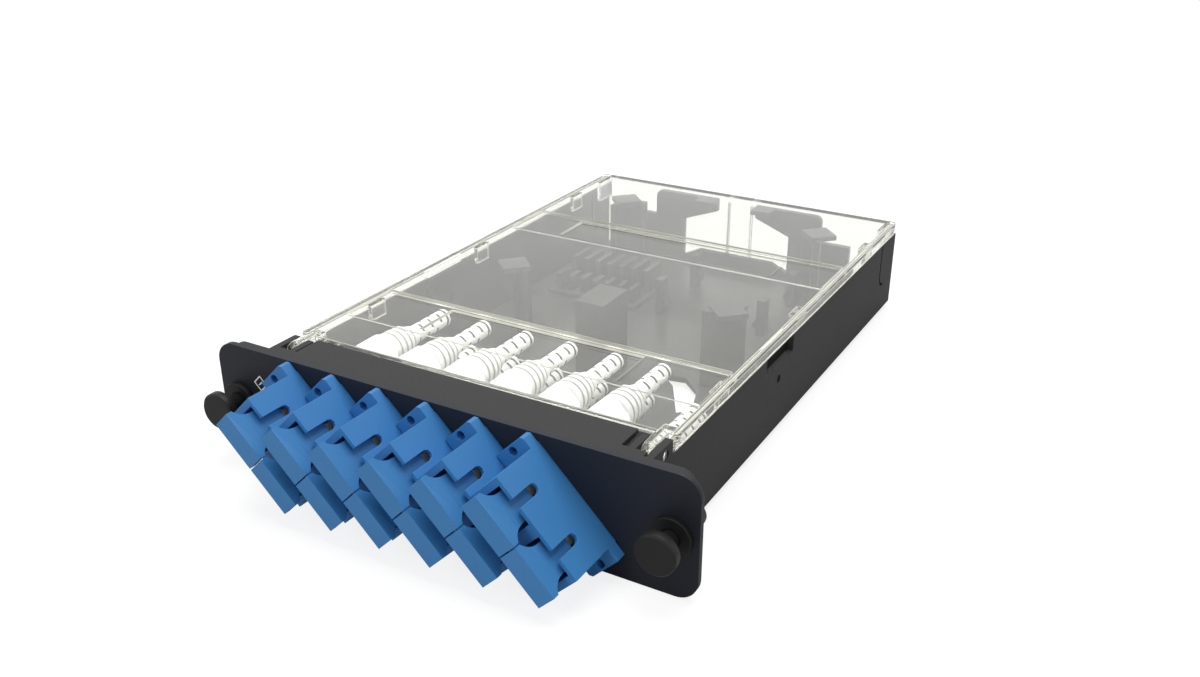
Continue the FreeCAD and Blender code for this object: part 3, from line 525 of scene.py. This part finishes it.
def notch_strip(side, name):
    """A strip on the right wall for side 1, or on the left wall for side -1, with its upper corners cut."""
    outline = [
        (NOTCH_FRONT, NOTCH_LOW),
        (NOTCH_REAR, NOTCH_LOW),
        (NOTCH_REAR, NOTCH_TOP - STRIP_CHAMFER),
        (NOTCH_REAR - STRIP_CHAMFER, NOTCH_TOP),
        (NOTCH_FRONT + STRIP_CHAMFER, NOTCH_TOP),
        (NOTCH_FRONT, NOTCH_TOP - STRIP_CHAMFER),
    ]
    count = len(outline)
    points = [(side * x, y, z) for x in (STRIP_INNER, STRIP_OUTER) for y, z in outline]
    faces = [tuple(range(count)), tuple(reversed(range(count, 2 * count)))]
    for corner in range(count):
        after = (corner + 1) % count
        faces.append((corner, corner + count, after + count, after))
    if side < 0:
        faces = [tuple(reversed(face)) for face in faces]
    add_piece(name, points, faces, recess_painted_shade, "cassette")


notch_strip(1, "right_notch_strip")
notch_strip(-1, "left_notch_strip")

# Floor, light and camera
FLOOR_REACH = 6.0
FLOOR_GAP = 0.2 * MM
FLOOR_GLOW = 0.82
FLOOR_SEEN = 0.25
FLOOR_GREY = 0.55
SKY = 0.3
CAMERA_PLACE = (0.142616, -0.249648, 0.148216)
CAMERA_AIM = (-0.45012, 0.78708, -0.42178)
floor_mesh = bpy.data.meshes.new("floor")
floor_corners = [(x * FLOOR_REACH, y * FLOOR_REACH, 0) for x, y in CORNERS]
floor_mesh.from_pydata(floor_corners, [], [(0, 1, 2, 3)])
floor = bpy.data.objects.new("floor", floor_mesh)
floor.location.z = -FLOOR_GAP
bpy.context.scene.collection.objects.link(floor)


def diffuse(tree, grey):
    shader = tree.add("ShaderNodeBsdfDiffuse")
    shader.inputs["Color"].default_value = (grey, grey, grey, 1)
    return shader.outputs[0]


def background(tree, strength):
    shader = tree.add("ShaderNodeBackground")
    shader.inputs["Color"].default_value = (1, 1, 1, 1)
    shader.inputs["Strength"].default_value = strength
    return shader.outputs[0]


def any_ray(tree, *kinds):
    """1 for rays of any of the kinds and 0 for the others."""
    path = tree.add("ShaderNodeLightPath")
    value = path.outputs[kinds[0]]
    for kind in kinds[1:]:
        either = tree.add("ShaderNodeMath", operation="MAXIMUM")
        tree.link(value, either.inputs[0])
        tree.link(path.outputs[kind], either.inputs[1])
        value = either.outputs[0]
    return value


floor_material = bpy.data.materials.new("floor")
tree = Nodes(floor_material)
seen = any_ray(tree, "Is Camera Ray", "Is Transmission Ray")
glow = tree.add("ShaderNodeEmission")
glow.inputs["Strength"].default_value = FLOOR_GLOW
lit = tree.add("ShaderNodeAddShader")
tree.link(glow.outputs[0], lit.inputs[0])
tree.link(diffuse(tree, FLOOR_SEEN), lit.inputs[1])
tree.finish(tree.blend(seen, diffuse(tree, FLOOR_GREY), lit.outputs[0]))
floor_mesh.materials.append(floor_material)

world = bpy.data.worlds.new("world")
bpy.context.scene.world = world
tree = Nodes(world)
seen = any_ray(tree, "Is Camera Ray", "Is Transmission Ray", "Is Glossy Ray")
tree.finish(tree.blend(seen, background(tree, SKY), background(tree, 1.0)), "ShaderNodeOutputWorld")


def area_light(name, place, size, power, mirrored=True):
    """A square lamp that faces the middle of the object, and that gloss mirrors or not."""
    lamp = bpy.data.lights.new(name, "AREA")
    lamp.shape = "SQUARE"
    lamp.size = size
    lamp.energy = power
    holder = bpy.data.objects.new(name, lamp)
    holder.location = place
    holder.visible_glossy = mirrored
    holder.rotation_euler = (-Vector(place)).to_track_quat("-Z", "Y").to_euler()
    bpy.context.scene.collection.objects.link(holder)


area_light("top_light", (0.0, 0.15, 1.1), 0.9, 11.2)
area_light("front_light", (-0.4, -1.0, 0.6), 0.8, 4.0, mirrored=False)
area_light("right_light", (0.9, -0.65, 0.4), 0.8, 1.7, mirrored=False)

camera_data = bpy.data.cameras.new("camera")
camera_data.sensor_fit = "HORIZONTAL"
camera_data.sensor_width = 36.0
camera_data.lens = 35.0
camera_data.clip_start = 0.01
camera_data.clip_end = 50.0
camera = bpy.data.objects.new("camera", camera_data)
camera.location = CAMERA_PLACE
camera.rotation_euler = Vector(CAMERA_AIM).to_track_quat("-Z", "Y").to_euler()
bpy.context.scene.collection.objects.link(camera)
bpy.context.scene.camera = camera
bpy.context.scene.view_settings.view_transform = "Standard"
